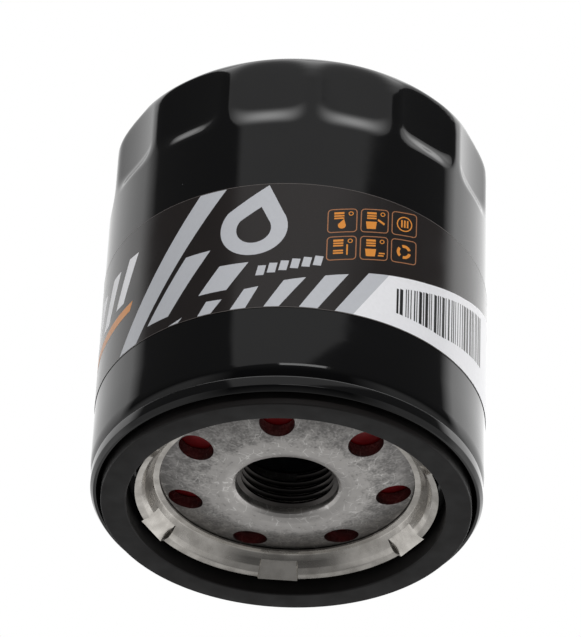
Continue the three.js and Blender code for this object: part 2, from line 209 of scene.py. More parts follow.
def zincSteel():
    # Zinc-plated pressed steel, dull from handling: cloudy grey spangle, with a painted highlight in
    # rings round the crest of the dish and painted shade darkening it towards its rim. The scratches
    # are really about 0.02 mm wide, and are drawn at 0.1 mm so that they show.
    material, tree, place = startMaterial("mottled_zinc_steel")
    dull, bright = linearColour("8c8a88"), linearColour("bfbcb9")
    # dark is a painted shade colour for the rim; bare is the metal showing in the scratches.
    dark, bare = linearColour("6f6d6c"), linearColour("f0eeeb")
    flat = addNode(tree, "ShaderNodeVectorMath", {0: place, 1: (1, 1, 0)}, operation="MULTIPLY")
    away = addNode(tree, "ShaderNodeVectorMath", {0: flat}, operation="LENGTH")     # from the axis
    cloud = addNode(tree, "ShaderNodeTexNoise", {"Vector": place, "Scale": per(2.2), "Detail": 6})
    fine = addNode(tree, "ShaderNodeTexNoise", {"Vector": place, "Scale": per(0.5), "Detail": 3})
    mottle = addNode(tree, "ShaderNodeMath", {0: cloud, 1: fine}, operation="ADD")
    turned = addNode(tree, "ShaderNodeTexNoise", {"W": away, "Scale": per(0.5), "Detail": 2},
                     noise_dimensions="1D")
    # Painted highlight: the turned rings are brightened round the crest of the dish, then added to the real
    # spangle mottle.
    crest = addNode(tree, "ShaderNodeMapRange", {"Value": away, 1: 12.5 * mm, 2: 17 * mm, 3: 0.9, 4: 0})
    rings = addNode(tree, "ShaderNodeMath", {0: turned, 1: crest}, operation="MULTIPLY")
    spangleAndHighlight = addNode(tree, "ShaderNodeMath", {0: rings, 1: mottle}, operation="ADD")
    spangleAndHighlightLevel = addNode(tree, "ShaderNodeMapRange", {"Value": spangleAndHighlight, 1: 0.82, 2: 1.2})
    base = addNode(tree, "ShaderNodeMix", {"Factor": spangleAndHighlightLevel, 6: dull, 7: bright}, data_type="RGBA")
    # Painted shade: the colour darkens towards the plate's rim and round the inlets.
    rimShade = addNode(tree, "ShaderNodeMapRange", {"Value": away, 1: 17 * mm, 2: 24.5 * mm, 3: 0, 4: 0.75})
    base = addNode(tree, "ShaderNodeMix", {"Factor": rimShade, 6: base, 7: dark}, data_type="RGBA")
    rub = addNode(tree, "ShaderNodeMapRange", {"Value": away, 1: 11 * mm, 2: 22 * mm, 3: 1, 4: 0.45})
    wander = addNode(tree, "ShaderNodeTexNoise", {"Vector": place, "Scale": per(5), "Detail": 1})
    bent = addNode(tree, "ShaderNodeVectorMath", {0: wander.outputs["Color"], 1: (3 * mm,) * 3, 2: place},
                   operation="MULTIPLY_ADD")
    for spacing, patchSize in ((2.4, 2.1), (3.4, 1.4)):     # two sets of scratches, in patches
        cells = addNode(tree, "ShaderNodeTexVoronoi", {"Vector": bent, "Scale": per(spacing)},
                        feature="DISTANCE_TO_EDGE")
        line = addNode(tree, "ShaderNodeMapRange", {"Value": cells, 1: 0.01, 2: 0.1 / spacing, 3: 0.7, 4: 0})
        patch = addNode(tree, "ShaderNodeTexNoise", {"Vector": place, "Scale": per(patchSize), "Detail": 2})
        here = addNode(tree, "ShaderNodeMapRange", {"Value": patch, 1: 0.5, 2: 0.62})
        nick = addNode(tree, "ShaderNodeMath", {0: line, 1: here}, operation="MULTIPLY")
        nick = addNode(tree, "ShaderNodeMath", {0: nick, 1: rub}, operation="MULTIPLY")
        base = addNode(tree, "ShaderNodeMix", {"Factor": nick, 6: base, 7: bare}, data_type="RGBA")
    gloss = addNode(tree, "ShaderNodeMapRange", {"Value": cloud, 1: 0.3, 2: 0.7, 3: 0.46, 4: 0.32})
    bump = addNode(tree, "ShaderNodeBump", {"Height": fine, "Distance": 0.03 * mm, "Strength": 0.6})
    shader = addNode(tree, "ShaderNodeBsdfPrincipled",
                     {"Base Color": base, "Roughness": gloss, "Normal": bump, "Metallic": 1.0})
    addNode(tree, "ShaderNodeOutputMaterial", {"Surface": shader})
    return material


def tinSteel():
    # Bright tin plate, drawn and flared: white metal with soft draw lines round the ring.
    material, tree, place = startMaterial("bright_tin_plate")
    cloud = addNode(tree, "ShaderNodeTexNoise", {"Vector": place, "Scale": per(3.5), "Detail": 4})
    tarnish = addNode(tree, "ShaderNodeMapRange", {"Value": cloud, 1: 0.4, 2: 0.75})
    clean, grey = linearColour("cdc9c3"), linearColour("a8a49e")
    colour = addNode(tree, "ShaderNodeMix", {"Factor": tarnish, 6: clean, 7: grey}, data_type="RGBA")
    gloss = addNode(tree, "ShaderNodeMapRange", {"Value": cloud, 1: 0.3, 2: 0.7, 3: 0.2, 4: 0.32})
    drawn = addNode(tree, "ShaderNodeMapping", {"Vector": place, "Scale": (0.15, 0.15, 3)})
    lines = addNode(tree, "ShaderNodeTexNoise", {"Vector": drawn, "Scale": per(0.5), "Detail": 3})
    bump = addNode(tree, "ShaderNodeBump", {"Height": lines, "Distance": 0.012 * mm, "Strength": 0.4})
    shader = addNode(tree, "ShaderNodeBsdfPrincipled",
                     {"Base Color": colour, "Roughness": gloss, "Normal": bump, "Metallic": 1.0})
    addNode(tree, "ShaderNodeOutputMaterial", {"Surface": shader})
    return material


def mouldedRubber():
    # Compression-moulded nitrile: matt near-black with a fine dusty bloom.
    material, tree, place = startMaterial("moulded_nitrile")
    bloom = addNode(tree, "ShaderNodeTexNoise", {"Vector": place, "Scale": per(4), "Detail": 5})
    black, dusty = linearColour("0f0d0d"), linearColour("181514")
    colour = addNode(tree, "ShaderNodeMix", {"Factor": bloom, 6: black, 7: dusty}, data_type="RGBA")
    gloss = addNode(tree, "ShaderNodeMapRange", {"Value": bloom, 1: 0.3, 2: 0.7, 3: 0.52, 4: 0.66})
    pores = addNode(tree, "ShaderNodeTexNoise", {"Vector": place, "Scale": per(0.25), "Detail": 2})
    bump = addNode(tree, "ShaderNodeBump", {"Height": pores, "Distance": 0.01 * mm, "Strength": 0.6})
    shader = addNode(tree, "ShaderNodeBsdfPrincipled",
                     {"Base Color": colour, "Roughness": gloss, "Normal": bump, "IOR": 1.5,
                      "Specular IOR Level": 0.42})
    addNode(tree, "ShaderNodeOutputMaterial", {"Surface": shader})
    return material


def redSilicone():
    # Cured silicone rubber: deep red, soft gloss, light carries a little way into it.
    material, tree, place = startMaterial("cured_silicone")
    tone = addNode(tree, "ShaderNodeTexNoise", {"Vector": place, "Scale": per(3), "Detail": 3})
    red, deepRed = linearColour("a8121b"), linearColour("7a0b13")
    colour = addNode(tree, "ShaderNodeMix", {"Factor": tone, 6: red, 7: deepRed}, data_type="RGBA")
    gloss = addNode(tree, "ShaderNodeMapRange", {"Value": tone, 1: 0.3, 2: 0.7, 3: 0.32, 4: 0.42})
    skin = addNode(tree, "ShaderNodeTexNoise", {"Vector": place, "Scale": per(0.4), "Detail": 2})
    bump = addNode(tree, "ShaderNodeBump", {"Height": skin, "Distance": 0.006 * mm, "Strength": 0.4})
    shader = addNode(tree, "ShaderNodeBsdfPrincipled",
                     {"Base Color": colour, "Roughness": gloss, "Normal": bump, "IOR": 1.41,
                      "Subsurface Weight": 0.15, "Subsurface Radius": (0.8 * mm, 0.1 * mm, 0.08 * mm)})
    addNode(tree, "ShaderNodeOutputMaterial", {"Surface": shader})
    return material


def oiledSteel(name, pale, dark, smooth, rough):
    # Cold-rolled sheet, drawn wire or a cut thread, under a thin film of oil.
    material, tree, place = startMaterial(name)
    film = addNode(tree, "ShaderNodeTexNoise", {"Vector": place, "Scale": per(4), "Detail": 4})
    colour = addNode(tree, "ShaderNodeMix", {"Factor": film, 6: linearColour(pale), 7: linearColour(dark)},
                     data_type="RGBA")
    gloss = addNode(tree, "ShaderNodeMapRange", {"Value": film, 1: 0.3, 2: 0.7, 3: smooth, 4: rough})
    rolled = addNode(tree, "ShaderNodeMapping", {"Vector": place, "Scale": (1, 1, 0.1)})
    lines = addNode(tree, "ShaderNodeTexNoise", {"Vector": rolled, "Scale": per(0.3), "Detail": 2})
    bump = addNode(tree, "ShaderNodeBump", {"Height": lines, "Distance": 0.008 * mm, "Strength": 0.4})
    shader = addNode(tree, "ShaderNodeBsdfPrincipled",
                     {"Base Color": colour, "Roughness": gloss, "Normal": bump, "Metallic": 1.0})
    addNode(tree, "ShaderNodeOutputMaterial", {"Surface": shader})
    return material


def filterPaper():
    # Resin-bonded synthetic media: fibrous, matt, straw-coloured.
    material, tree, place = startMaterial("resin_bonded_media")
    upright = addNode(tree, "ShaderNodeMapping", {"Vector": place, "Scale": (1, 1, 0.3)})
    fibre = addNode(tree, "ShaderNodeTexNoise", {"Vector": upright, "Scale": per(0.35), "Detail": 4})
    straw, shaded = linearColour("e8dfc4"), linearColour("cbbd97")
    colour = addNode(tree, "ShaderNodeMix", {"Factor": fibre, 6: straw, 7: shaded}, data_type="RGBA")
    bump = addNode(tree, "ShaderNodeBump", {"Height": fibre, "Distance": 0.05 * mm, "Strength": 0.6})
    shader = addNode(tree, "ShaderNodeBsdfPrincipled",
                     {"Base Color": colour, "Roughness": 0.9, "Normal": bump})
    addNode(tree, "ShaderNodeOutputMaterial", {"Surface": shader})
    return material


def curedAdhesive():
    # Plastisol poured into the end caps: dark, even, slightly glossy.
    material, tree, place = startMaterial("cured_plastisol")
    tone = addNode(tree, "ShaderNodeTexNoise", {"Vector": place, "Scale": per(2.5), "Detail": 2})
    grey, black = linearColour("3a393b"), linearColour("2b2a2c")
    colour = addNode(tree, "ShaderNodeMix", {"Factor": tone, 6: grey, 7: black}, data_type="RGBA")
    bump = addNode(tree, "ShaderNodeBump", {"Height": tone, "Distance": 0.05 * mm, "Strength": 0.4})
    shader = addNode(tree, "ShaderNodeBsdfPrincipled",
                     {"Base Color": colour, "Roughness": 0.4, "Normal": bump})
    addNode(tree, "ShaderNodeOutputMaterial", {"Surface": shader})
    return material


def whiteCard():
    # Matt white card for the bench, with a faint unevenness.
    material, tree, place = startMaterial("matt_white_card")
    cloud = addNode(tree, "ShaderNodeTexNoise", {"Vector": place, "Scale": per(60), "Detail": 2})
    white, offWhite = linearColour("f4f4f4"), linearColour("f1f1f1")
    colour = addNode(tree, "ShaderNodeMix", {"Factor": cloud, 6: white, 7: offWhite}, data_type="RGBA")
    shader = addNode(tree, "ShaderNodeBsdfPrincipled", {"Base Color": colour, "Roughness": 0.9})
    addNode(tree, "ShaderNodeOutputMaterial", {"Surface": shader})
    return material


finishes = {
    "enamel": glossEnamel(),
    "film": satinFilm(),
    "silverInk": printedInk("silver_grey_ink", "bcbec3", 0.3),
    "whiteInk": printedInk("white_ink", "ebebee", 0.28),
    "orangeInk": printedInk("orange_ink", "d98a34", 0.32),
    "outlineInk": printedInk("brown_orange_ink", "a26c48", 0.32),
    "blackInk": printedInk("black_ink", "1b1b1d", 0.3),
    # Painted highlight for the film's two cut edges.
    "edgeHighlight": printedInk("film_edge_painted_highlight", "55504e", 0.3),
    "zinc": zincSteel(),
    "tin": tinSteel(),
    "rubber": mouldedRubber(),
    "silicone": redSilicone(),
    "sheet": oiledSteel("cold_rolled_sheet", "b9babc", "8e9093", 0.28, 0.42),
    "wire": oiledSteel("oiled_spring_wire", "85888b", "5d6063", 0.22, 0.35),
    # The thread's dark colours are painted shade, for the shadow inside the collar's bore.
    "thread": oiledSteel("cut_thread_painted_shade", "5e5b59", "3d3b39", 0.26, 0.38),
    "paper": filterPaper(),
    "adhesive": curedAdhesive(),
    "card": whiteCard(),
}
print("finishes ready:", len(finishes))


can = {
    "radius": 37.0,
    "wall": 0.5,
    "neck": 36.1,
    "neckTop": 5.0,
    "shoulder": 6.4,            # height where the neck has opened out to the full radius
    "shoulderRound": 4.0,
    "wallStart": 14,            # the straight wall gets its own rings from here
    "fluteStart": 60,           # and finer ones from here, for the flutes
    "cornerStart": 74.1,        # the closed end begins to turn in here
    "cornerTop": 85.5,
    "cornerPowers": (1.92, 3.7),        # how full the corner's curve is, outwards and upwards
    "domeRadius": (19, 9),      # the raised middle grows between these radii
    "flutes": 14,
    "flutePhase": math.radians(-75),
    "fluteDepth": 1.25,
    "fluteHollow": 50,          # radius of the scoop across each flute
    "fluteBottom": 63.0,
    "fluteCorner": 4.5,         # rounds the lower corners of a flute
    "fluteStep": 4.4,           # height of the slope at its lower end
    "flutePoints": 24,          # round the can for each flute
}


def canProfile():
    low, high = cadBox("canister")
    lower = roundedPath([(can["neck"], low.z), (can["neck"], can["neckTop"]),
                         (can["radius"], can["shoulder"], can["shoulderRound"]),
                         (can["radius"], can["wallStart"])])
    wall = [Vector((can["radius"], can["wallStart"] + i * 5)) for i in range(1, 10)]
    flute = [Vector((can["radius"], can["fluteStart"] + i * 0.5)) for i in range(28)]
    corner = []
    last = 40
    across, up = can["cornerPowers"]
    domeEdge, domeTop = can["domeRadius"]
    for i in range(last + 1):
        turn = i / last * math.pi / 2
        radius = can["radius"] * math.cos(turn) ** (2 / across) if i < last else 0
        height = can["cornerStart"] + (can["cornerTop"] - can["cornerStart"]) * math.sin(turn) ** (2 / up)
        height += (high.z - can["cornerTop"]) * smoothStep(-radius, -domeEdge, -domeTop)
        corner.append(Vector((radius, height)))
    return lower + wall + flute + corner


def cutFlute(radius, angle, height):
    # The radius that is left once the nearest flute's shallow scoop is cut away.
    pitch = 2 * math.pi / can["flutes"]
    local = (angle - can["flutePhase"] + pitch / 2) % pitch - pitch / 2
    across = can["radius"] * local
    scoop = (can["radius"] - can["fluteDepth"] + across ** 2 / 2 / can["fluteHollow"]) / math.cos(local)
    soft = 0.06 + 0.2 * smoothStep(height, 75, 80)      # rounds the edges where scoop and wall meet
    depth = (radius - scoop + math.hypot(radius - scoop, soft)) / 2
    corner = can["fluteCorner"]
    turn = min(max(abs(across) - can["radius"] * pitch / 2 + corner, 0) / corner, 1)
    bottom = can["fluteBottom"] + corner * (1 - math.sqrt(1 - turn ** 2))
    return radius - depth * smoothStep(height, bottom, bottom + can["fluteStep"])


def buildCanister():
    bm = bmesh.new()
    turnProfile(bm, canProfile(), can["flutes"] * can["flutePoints"], closed=False)
    for vert in bm.verts:
        radius = math.hypot(vert.co.x, vert.co.y)
        if radius > can["domeRadius"][0] + 1 and vert.co.z > can["fluteStart"]:
            cut = cutFlute(radius, math.atan2(vert.co.y, vert.co.x), vert.co.z) / radius
            vert.co.x *= cut
            vert.co.y *= cut
    piece = finishPiece("canister_shell", bm, finishes["enamel"], "can", ["canister"])
    if sum(face.normal.dot(face.center) for face in piece.data.polygons) < 0:
        piece.data.flip_normals()       # the shell is open below, so it may come out facing inwards
    wall = piece.modifiers.new("sheet", "SOLIDIFY")
    wall.thickness = can["wall"] * mm
    wall.offset = -1


buildCanister()
print("canister: drawn shell with", can["flutes"], "flutes")


label = {                           # along the label and up the can, from the middle of the front
    "inner": 37.02,             # radii of the film's two faces
    "outer": 37.08,
    "inkDepth": 0.012,
    "inkLift": 0.003,           # keeps the ink clear of the film
    "upperInkLift": 0.014,      # ink printed on other ink
    "margin": 0.2,              # bare film above and below the print
    "stripes": (                # left and right foot, then the corners of the top
        (-25.0, -22.8, (-21.9, 20.9)),
        (-18.6, -15.9, (-13.8, 22.7), (-16.9, 22.9)),
        (-12.1, -9.2, (-6.9, 24.7), (-9.6, 24.3)),
        (-5.8, -3.0, (1.8, 26.8), (-2.3, 25.9)),
        (0.7, 4.1, (9.7, 28.8), (5.3, 27.6)),
        (7.3, 10.8, (17.8, 31.1), (13.6, 30.1)),
    ),
    "backStripes": (84, 7, 3),          # first, spacing, width
    "drop": (-8.4, 38.4, 6.4, 48.0),    # middle, radius, height of the tip
    "dropHollow": (-8.4, 38.1, 3.3, 43.0),
    "bars": ((-30.4, 5.2, 22.4, 34.6), (-18.6, 5.6, 24.7, 30.4)),
    "dashes": 6,
    "panelFoot": 10.8,
    "panelTop": ((17.8, 31.1), (20.4, 31.7), (26.9, 33.3), (38.2, 36.6), (49.6, 40.6), (62, 45.2)),
    "panelEnd": 72,
    "slashes": ((-42.0, 3.0, 32.4, 42.0), (-48.6, 3.2, 31.4, 41.2), (-55.4, 3.2, 30.6, 40.4)),
    "lines": (19.5, 46),        # the black lines start and stop here
    "lineWidths": (0.22, 0.3, 0.45, 0.7),
    "lineGaps": (0.28, 0.4, 0.6),
    "pictures": (5.3, 37.3),    # lower left corner of the first of six, in two rows
    "pictureStep": 6.35,
    "pictureRise": 0.27,        # they climb along the label
    "swoosh": (
        [(-35.6, 31.2), (-44, 30.2), (-44, 28.1), (-36.4, 29.2)],
        [(-44, 30.2), (-55, 28.8), (-55, 26.9), (-44, 28.1)],
    ),
    "edges": (0.03, -0.15),     # where the film's cut edges catch the light, from its low and high end
}
labelLow, labelHigh = cadBox("wrap_label")


def buildFilm():
    bm = bmesh.new()
    turnProfile(bm, [(label["inner"], labelLow.z), (label["outer"], labelLow.z),
                     (label["outer"], labelHigh.z), (label["inner"], labelHigh.z)], 336)
    finishPiece("label_film", bm, finishes["film"], "can", ["wrap_label"])


def wrapInk(name, ink, outlines, lift=0.0):
    # Flat outlines, cut every millimetre along the label, thickened and bent round the film.
    bm = bmesh.new()
    for outline in outlines:
        bm.faces.new([bm.verts.new((x, z, 0)) for x, z in outline])
    bmesh.ops.remove_doubles(bm, verts=bm.verts, dist=0.0001)
    bm.normal_update()
    bmesh.ops.reverse_faces(bm, faces=[face for face in bm.faces if face.normal.z < 0])
    left = math.floor(min(vert.co.x for vert in bm.verts))
    right = math.ceil(max(vert.co.x for vert in bm.verts))
    for cut in range(left, right + 1):
        everything = bm.verts[:] + bm.edges[:] + bm.faces[:]
        bmesh.ops.bisect_plane(bm, geom=everything, plane_co=(cut, 0, 0), plane_no=(1, 0, 0))
    bmesh.ops.solidify(bm, geom=bm.faces[:], thickness=label["inkDepth"])
    lowest = min(vert.co.z for vert in bm.verts)
    radius = label["outer"] + label["inkLift"] + lift
    for vert in bm.verts:
        angle = vert.co.x / radius - math.pi / 2
        reach = radius + vert.co.z - lowest
        vert.co = (reach * math.cos(angle), reach * math.sin(angle), vert.co.y)
    finishPiece(name, bm, finishes[ink], "can")


def slantedBar(left, width, bottom, top, lean=0.7):
    shift = lean * (top - bottom)
    return [(left, bottom), (left + width, bottom), (left + width + shift, top), (left + shift, top)]


def arcPoints(x, z, radius, start, end, steps):
    angles = [math.radians(start + (end - start) * i / steps) for i in range(steps + 1)]
    return [(x + radius * math.cos(angle), z + radius * math.sin(angle)) for angle in angles]


def roundedBox(left, bottom, width, height, radius, steps=5):
    points = []
    for cornerX, cornerZ, start in ((1, 1, 0), (0, 1, 90), (0, 0, 180), (1, 0, 270)):
        x = left + radius + cornerX * (width - 2 * radius)
        z = bottom + radius + cornerZ * (height - 2 * radius)
        points += arcPoints(x, z, radius, start, start + 90, steps)
    return points


def outlineStrips(outer, inner, closed=True):
    # The band between two outlines that have the same number of points.
    count = len(outer)
    last = count if closed else count - 1
    return [[outer[i], outer[(i + 1) % count], inner[(i + 1) % count], inner[i]] for i in range(last)]


def arcBand(x, z, outer, inner, start=0, end=360, steps=24):
    outerArc = arcPoints(x, z, outer, start, end, steps)
    innerArc = arcPoints(x, z, inner, start, end, steps)
    return outlineStrips(outerArc, innerArc, False)


def box(left, bottom, width, height):
    return [(left, bottom), (left + width, bottom), (left + width, bottom + height), (left, bottom + height)]


def oilDrop(x, z, radius, tip):
    # A round drop with a pointed top, leaning a little to the right.
    return arcPoints(x, z, radius, 142, 392, 30) + [(x + 0.55 * (tip - z) * 0.5, tip)]


def servicePictures():
    # Six plain symbols, each drawn in a square five units wide.
    cup = [[(0.9, 0.6), (2.7, 0.6), (2.9, 2.3), (0.7, 2.3)]]
    spout = [[(3.0, 2.6), (4.4, 1.6), (4.6, 2.0), (3.2, 3.0)]]
    filterCan = [box(0.9, 2.9, 1.9, 0.35), box(0.9, 3.45, 1.9, 0.35), box(0.9, 4.0, 1.9, 0.5)]
    dot = arcBand(4.1, 4.1, 0.5, 0.32, steps=12)
    grille = [box(left, 1.7, 0.35, 1.7) for left in (1.7, 2.35, 3.0)]
    return [
        filterCan + [oilDrop(2.4, 1.4, 0.75, 2.9)] + dot,
        filterCan + cup + spout + dot,
        arcBand(2.5, 2.5, 1.75, 1.5, steps=24) + grille,
        filterCan + [box(0.9, 1.2, 1.9, 0.35), box(0.9, 1.75, 1.9, 0.35), box(3.4, 0.9, 0.3, 2.4)] + dot,
        filterCan + cup + [box(3.3, 0.7, 1.2, 0.3), box(3.5, 1.25, 1.2, 0.3)] + dot,
        [quad for turn in (20, 140, 260) for quad in arcBand(2.5, 2.4, 1.6, 0.95, turn, turn + 88, 8)],
    ]


def printSilver(low, high):
    stripes = [[(left, low), (right, low), *top] for left, right, *top in label["stripes"]]
    first, spacing, width = label["backStripes"]
    stripes += [slantedBar(first + spacing * i, width, low, low + 4 + 1.6 * i) for i in range(5)]
    symbol = outlineStrips(oilDrop(*label["drop"]), oilDrop(*label["dropHollow"]))
    bars = [slantedBar(-38.9, 5.4, low, high, 0.69)] + [slantedBar(*bar) for bar in label["bars"]]
    dashes = []
    for i in range(label["dashes"]):
        dashes.append(slantedBar(-7.6 + 2.1 * i, 1.5, 27.2 + 0.5 * i, 29.4 + 0.5 * i, 0.2))
    wrapInk("label_silver_ink", "silverInk", stripes + symbol + bars + dashes)


def printWhite(low):
    panelTop = label["panelTop"]
    lastX, lastZ = panelTop[-1]
    panel = [[(label["panelFoot"], low), (panelTop[0][0], low), panelTop[0]]]
    for (x, z), (nextX, nextZ) in zip(panelTop, panelTop[1:]):
        panel.append([(x, low), (nextX, low), (nextX, nextZ), (x, z)])
    panel.append([(lastX, low), (label["panelEnd"], low), (lastX, lastZ)])
    slashes = [slantedBar(*slash, 0.45) for slash in label["slashes"]]
    wrapInk("label_white_ink", "whiteInk", panel + slashes)


def printBlackLines():
    # Lines of random width, which stand for nothing.
    lines = []
    start, stop = label["lines"]
    x = start
    while x < stop:
        width = random.choice(label["lineWidths"])
        bottom = 23.2 + 0.19 * max(x - 30, 0)
        top = 28.8 + 0.33 * (x - start)
        lines.append(box(x, bottom, width, top - bottom))
        x += width + random.choice(label["lineGaps"])
    wrapInk("label_black_lines", "blackInk", lines, label["upperInkLift"])


def printPictures():
    firstX, firstZ = label["pictures"]
    frames, pictures = [], []
    for i, shapes in enumerate(servicePictures()):
        left = firstX + label["pictureStep"] * (i % 3)
        bottom = firstZ - label["pictureStep"] * (i // 3)
        outer = roundedBox(left, bottom, 5.7, 5.5, 0.8)
        inner = roundedBox(left + 0.2, bottom + 0.2, 5.3, 5.1, 0.6)
        frames += outlineStrips(outer, inner)
        pictures += [[(left + 0.35 + x, bottom + 0.25 + z) for x, z in shape] for shape in shapes]
    for shapes in (frames, pictures):
        shapes[:] = [[(x, z + label["pictureRise"] * (x - firstX)) for x, z in shape] for shape in shapes]
    wrapInk("label_brown_frames", "outlineInk", frames)
    wrapInk("label_orange_ink", "orangeInk", pictures + list(label["swoosh"]))


def drawFilmEdges():
    # Pale bands at the film's two cut edges: a painted highlight where the edges catch the light.
    bm = bmesh.new()
    near, far = label["outer"] + 0.002, label["outer"] + 0.01
    fromLow, fromHigh = label["edges"]
    for height in (labelLow.z + fromLow, labelHigh.z + fromHigh):
        turnProfile(bm, [(near, height), (far, height), (far, height + 0.12), (near, height + 0.12)], 240)
    finishPiece("label_edge_painted_highlight", bm, finishes["edgeHighlight"], "can")


printLow, printHigh = labelLow.z + label["margin"], labelHigh.z - label["margin"]
buildFilm()
printSilver(printLow, printHigh)
printWhite(printLow)
printBlackLines()
printPictures()
drawFilmEdges()
print("label: film and inks")


lid = {
    "steps": 360,
    "mouth": 26.6,              # radius where its floor stops over the base plate
    "floor": 5.8,
    "sheet": 0.6,
    "channel": 35.05,           # wall round the gasket
    "channelFoot": (35.15, 2.6),
    "foot": (35.6, 36.15),      # the rolled edge's lowest ring
    "rollHeight": 2.75,
    "seamInside": 36.25,
    "seamDrop": 1.5,            # the rolled edge ends this far below the lid's top
    "innerWall": 35.45,
}


def buildLid():
    low, high = cadBox("seam_lid")
    outer = high.x
    seamTop = high.z - lid["seamDrop"]
    footX, footZ = lid["channelFoot"]
    bm = bmesh.new()
    turnProfile(bm, roundedPath([
        (lid["mouth"], lid["floor"]),
        (lid["channel"], lid["floor"], 0.4),
        (footX, footZ, 0.6),
        (lid["foot"][0], low.z, 0.3),
        (lid["foot"][1], low.z, 0.3),
        (outer, lid["rollHeight"], 0.25),
        (outer, seamTop, 0.35),
        (lid["seamInside"], seamTop, 0.1),
        (lid["seamInside"], footZ),
        (lid["innerWall"], footZ),
        (lid["innerWall"], lid["floor"] + lid["sheet"]),
        (lid["mouth"], lid["floor"] + lid["sheet"]),
    ], closed=True), lid["steps"])
    finishPiece("seamed_lid_ring", bm, finishes["enamel"], "can", ["seam_lid"])


buildLid()
print("lid: seamed ring")


gasket = {
    "inner": 29.9,
    "outer": 34.7,
    "faceRounds": (0.35, 0.3),  # the moulded corners at the sealing face, inside and outside
    "backRound": 0.2,
    "steps": 320,
}


def buildGasket():
    low, high = cadBox("gasket")
    bm = bmesh.new()
    turnProfile(bm, roundedPath([
        (gasket["inner"], low.z, gasket["faceRounds"][0]),
        (gasket["outer"], low.z, gasket["faceRounds"][1]),
        (gasket["outer"], high.z, gasket["backRound"]),
        (gasket["inner"], high.z, gasket["backRound"]),
    ], closed=True), gasket["steps"])
    finishPiece("ring_gasket", bm, finishes["rubber"], "can", ["gasket"])


buildGasket()
print("gasket: moulded ring")


retainer = {
    "sheet": 0.4,
    "section": (                # radius, height and rounding, from the plate down to the lip
        (24.0, 6.15),
        (25.1, 6.1, 0.35),
        (25.75, 5.1, 1.3),
        (26.5, 3.85, 1.0),
        (27.3, 3.0, 0.9),
        (28.45, 2.72),
    ),
    "steps": 720,
    "tabs": 6,
    "tabPhase": math.radians(92),
    "tabHalf": math.radians(7.8),
    "fold": (26.4, 4.7),        # a tab is bent out from here
    "tabTip": (29.0, 2.6),
}


def sheetProfile(face, thickness):
    back = []
    for i in range(len(face)):
        run = (face[min(i + 1, len(face) - 1)] - face[max(i - 1, 0)]).normalized()
        back.append(face[i] + Vector((-run.y, run.x)) * thickness)
    return face + back[::-1]


def buildRetainer():
    face = roundedPath(retainer["section"])
    fold, tip = Vector(retainer["fold"]), Vector(retainer["tabTip"])
    pushed = [point for point in face if point.y < fold.y]
    kept = face[:len(face) - len(pushed)]
    bent = kept + [fold.lerp(tip, (i + 1) / len(pushed)) for i in range(len(pushed))]
    plain = sheetProfile(face, retainer["sheet"])
    tabbed = sheetProfile(bent, retainer["sheet"])
    bm = bmesh.new()
    turnProfile(bm, plain, retainer["steps"])
    pitch = 2 * math.pi / retainer["tabs"]
    for vert in bm.verts:
        radius = math.hypot(vert.co.x, vert.co.y)
        angle = math.atan2(vert.co.y, vert.co.x)
        local = (angle - retainer["tabPhase"] + pitch / 2) % pitch - pitch / 2
        if abs(local) > retainer["tabHalf"]:
            continue
        here = Vector((radius, vert.co.z))
        nearest = min(range(len(plain)), key=lambda i: (plain[i] - here).length_squared)
        goal = tabbed[nearest]
        chord = 1                       # below the fold a tab is flat across
        if goal.y < fold.y:
            chord = math.cos(retainer["tabHalf"]) / math.cos(local)
        vert.co.x *= goal.x * chord / radius
        vert.co.y *= goal.x * chord / radius
        vert.co.z = goal.y
    finishPiece("gasket_retainer_ring", bm, finishes["tin"], "can", ["gasket_retainer"])


buildRetainer()
print("retainer: flared ring with", retainer["tabs"], "tabs")


plate = {
    "thickness": 2.5,
    "underside": (              # radius, height and rounding, from the collar's mouth outwards
        (9.75, 5.45, 0.12),
        (10.3, 4.95, 0.6),
    ),
    "crest": (11.9, 2.2),       # radius and rounding of the lowest ring
    "dish": (
        (15.5, 4.75, 8),
        (20.2, 5.75, 12),
        (24.0, 6.78, 6),
    ),
    "rimHeight": 6.8,
    "topside": (                # heights here are above the thickness
        (24, 6.8, 4),
        (20.2, 5.75, 10),
        (15.5, 4.75, 6),
        (12.3, 4.9, 0.6),
        (11.3, 5.7, 0.5),
    ),
    "collar": 11.3,             # outer radius of the threaded collar
    "majorRadius": 9.55,        # of the 3/4-16 thread, whose tooth is drawn a little deep
    "minorRadius": 8.75,
    "pitch": 25.4 / 16,
    "threadStart": 6.5,
    "threadStop": 0.9,          # below the collar's end
    "threadSteps": 96,          # for each turn
    "inlets": 7,
    "inletRadius": 3.3,
    "inletCircle": 20.2,
    "inletPhase": math.radians(6.2),
    "inletHeight": 7,
    "drillLength": 12,
    "steps": 280,
}


def drillInlets(piece):
    drills = bmesh.new()
    for i in range(plate["inlets"]):
        angle = plate["inletPhase"] + i * 2 * math.pi / plate["inlets"]
        across = Vector((math.cos(angle), math.sin(angle), 0)) * plate["inletCircle"]
        centre = across + Vector((0, 0, plate["inletHeight"]))
        bmesh.ops.create_cone(drills, cap_ends=True, segments=64, radius1=plate["inletRadius"] * mm,
                              radius2=plate["inletRadius"] * mm, depth=plate["drillLength"] * mm,
                              matrix=Matrix.Translation(centre * mm))
    drillMesh = bpy.data.meshes.new("drills")
    drills.to_mesh(drillMesh)
    drills.free()
    drill = bpy.data.objects.new("drills", drillMesh)
    bpy.context.scene.collection.objects.link(drill)
    cut = piece.modifiers.new("inlets", "BOOLEAN")
    cut.object = drill
    cut.solver = "EXACT"
    drilled = bpy.data.meshes.new_from_object(piece.evaluated_get(bpy.context.evaluated_depsgraph_get()))
    piece.modifiers.clear()
    bpy.data.objects.remove(drill)
    piece.data = drilled
    drilled.name = "base_plate_drilled"
    drilled.shade_smooth()
    drilled.set_sharp_from_angle(angle=math.radians(28))


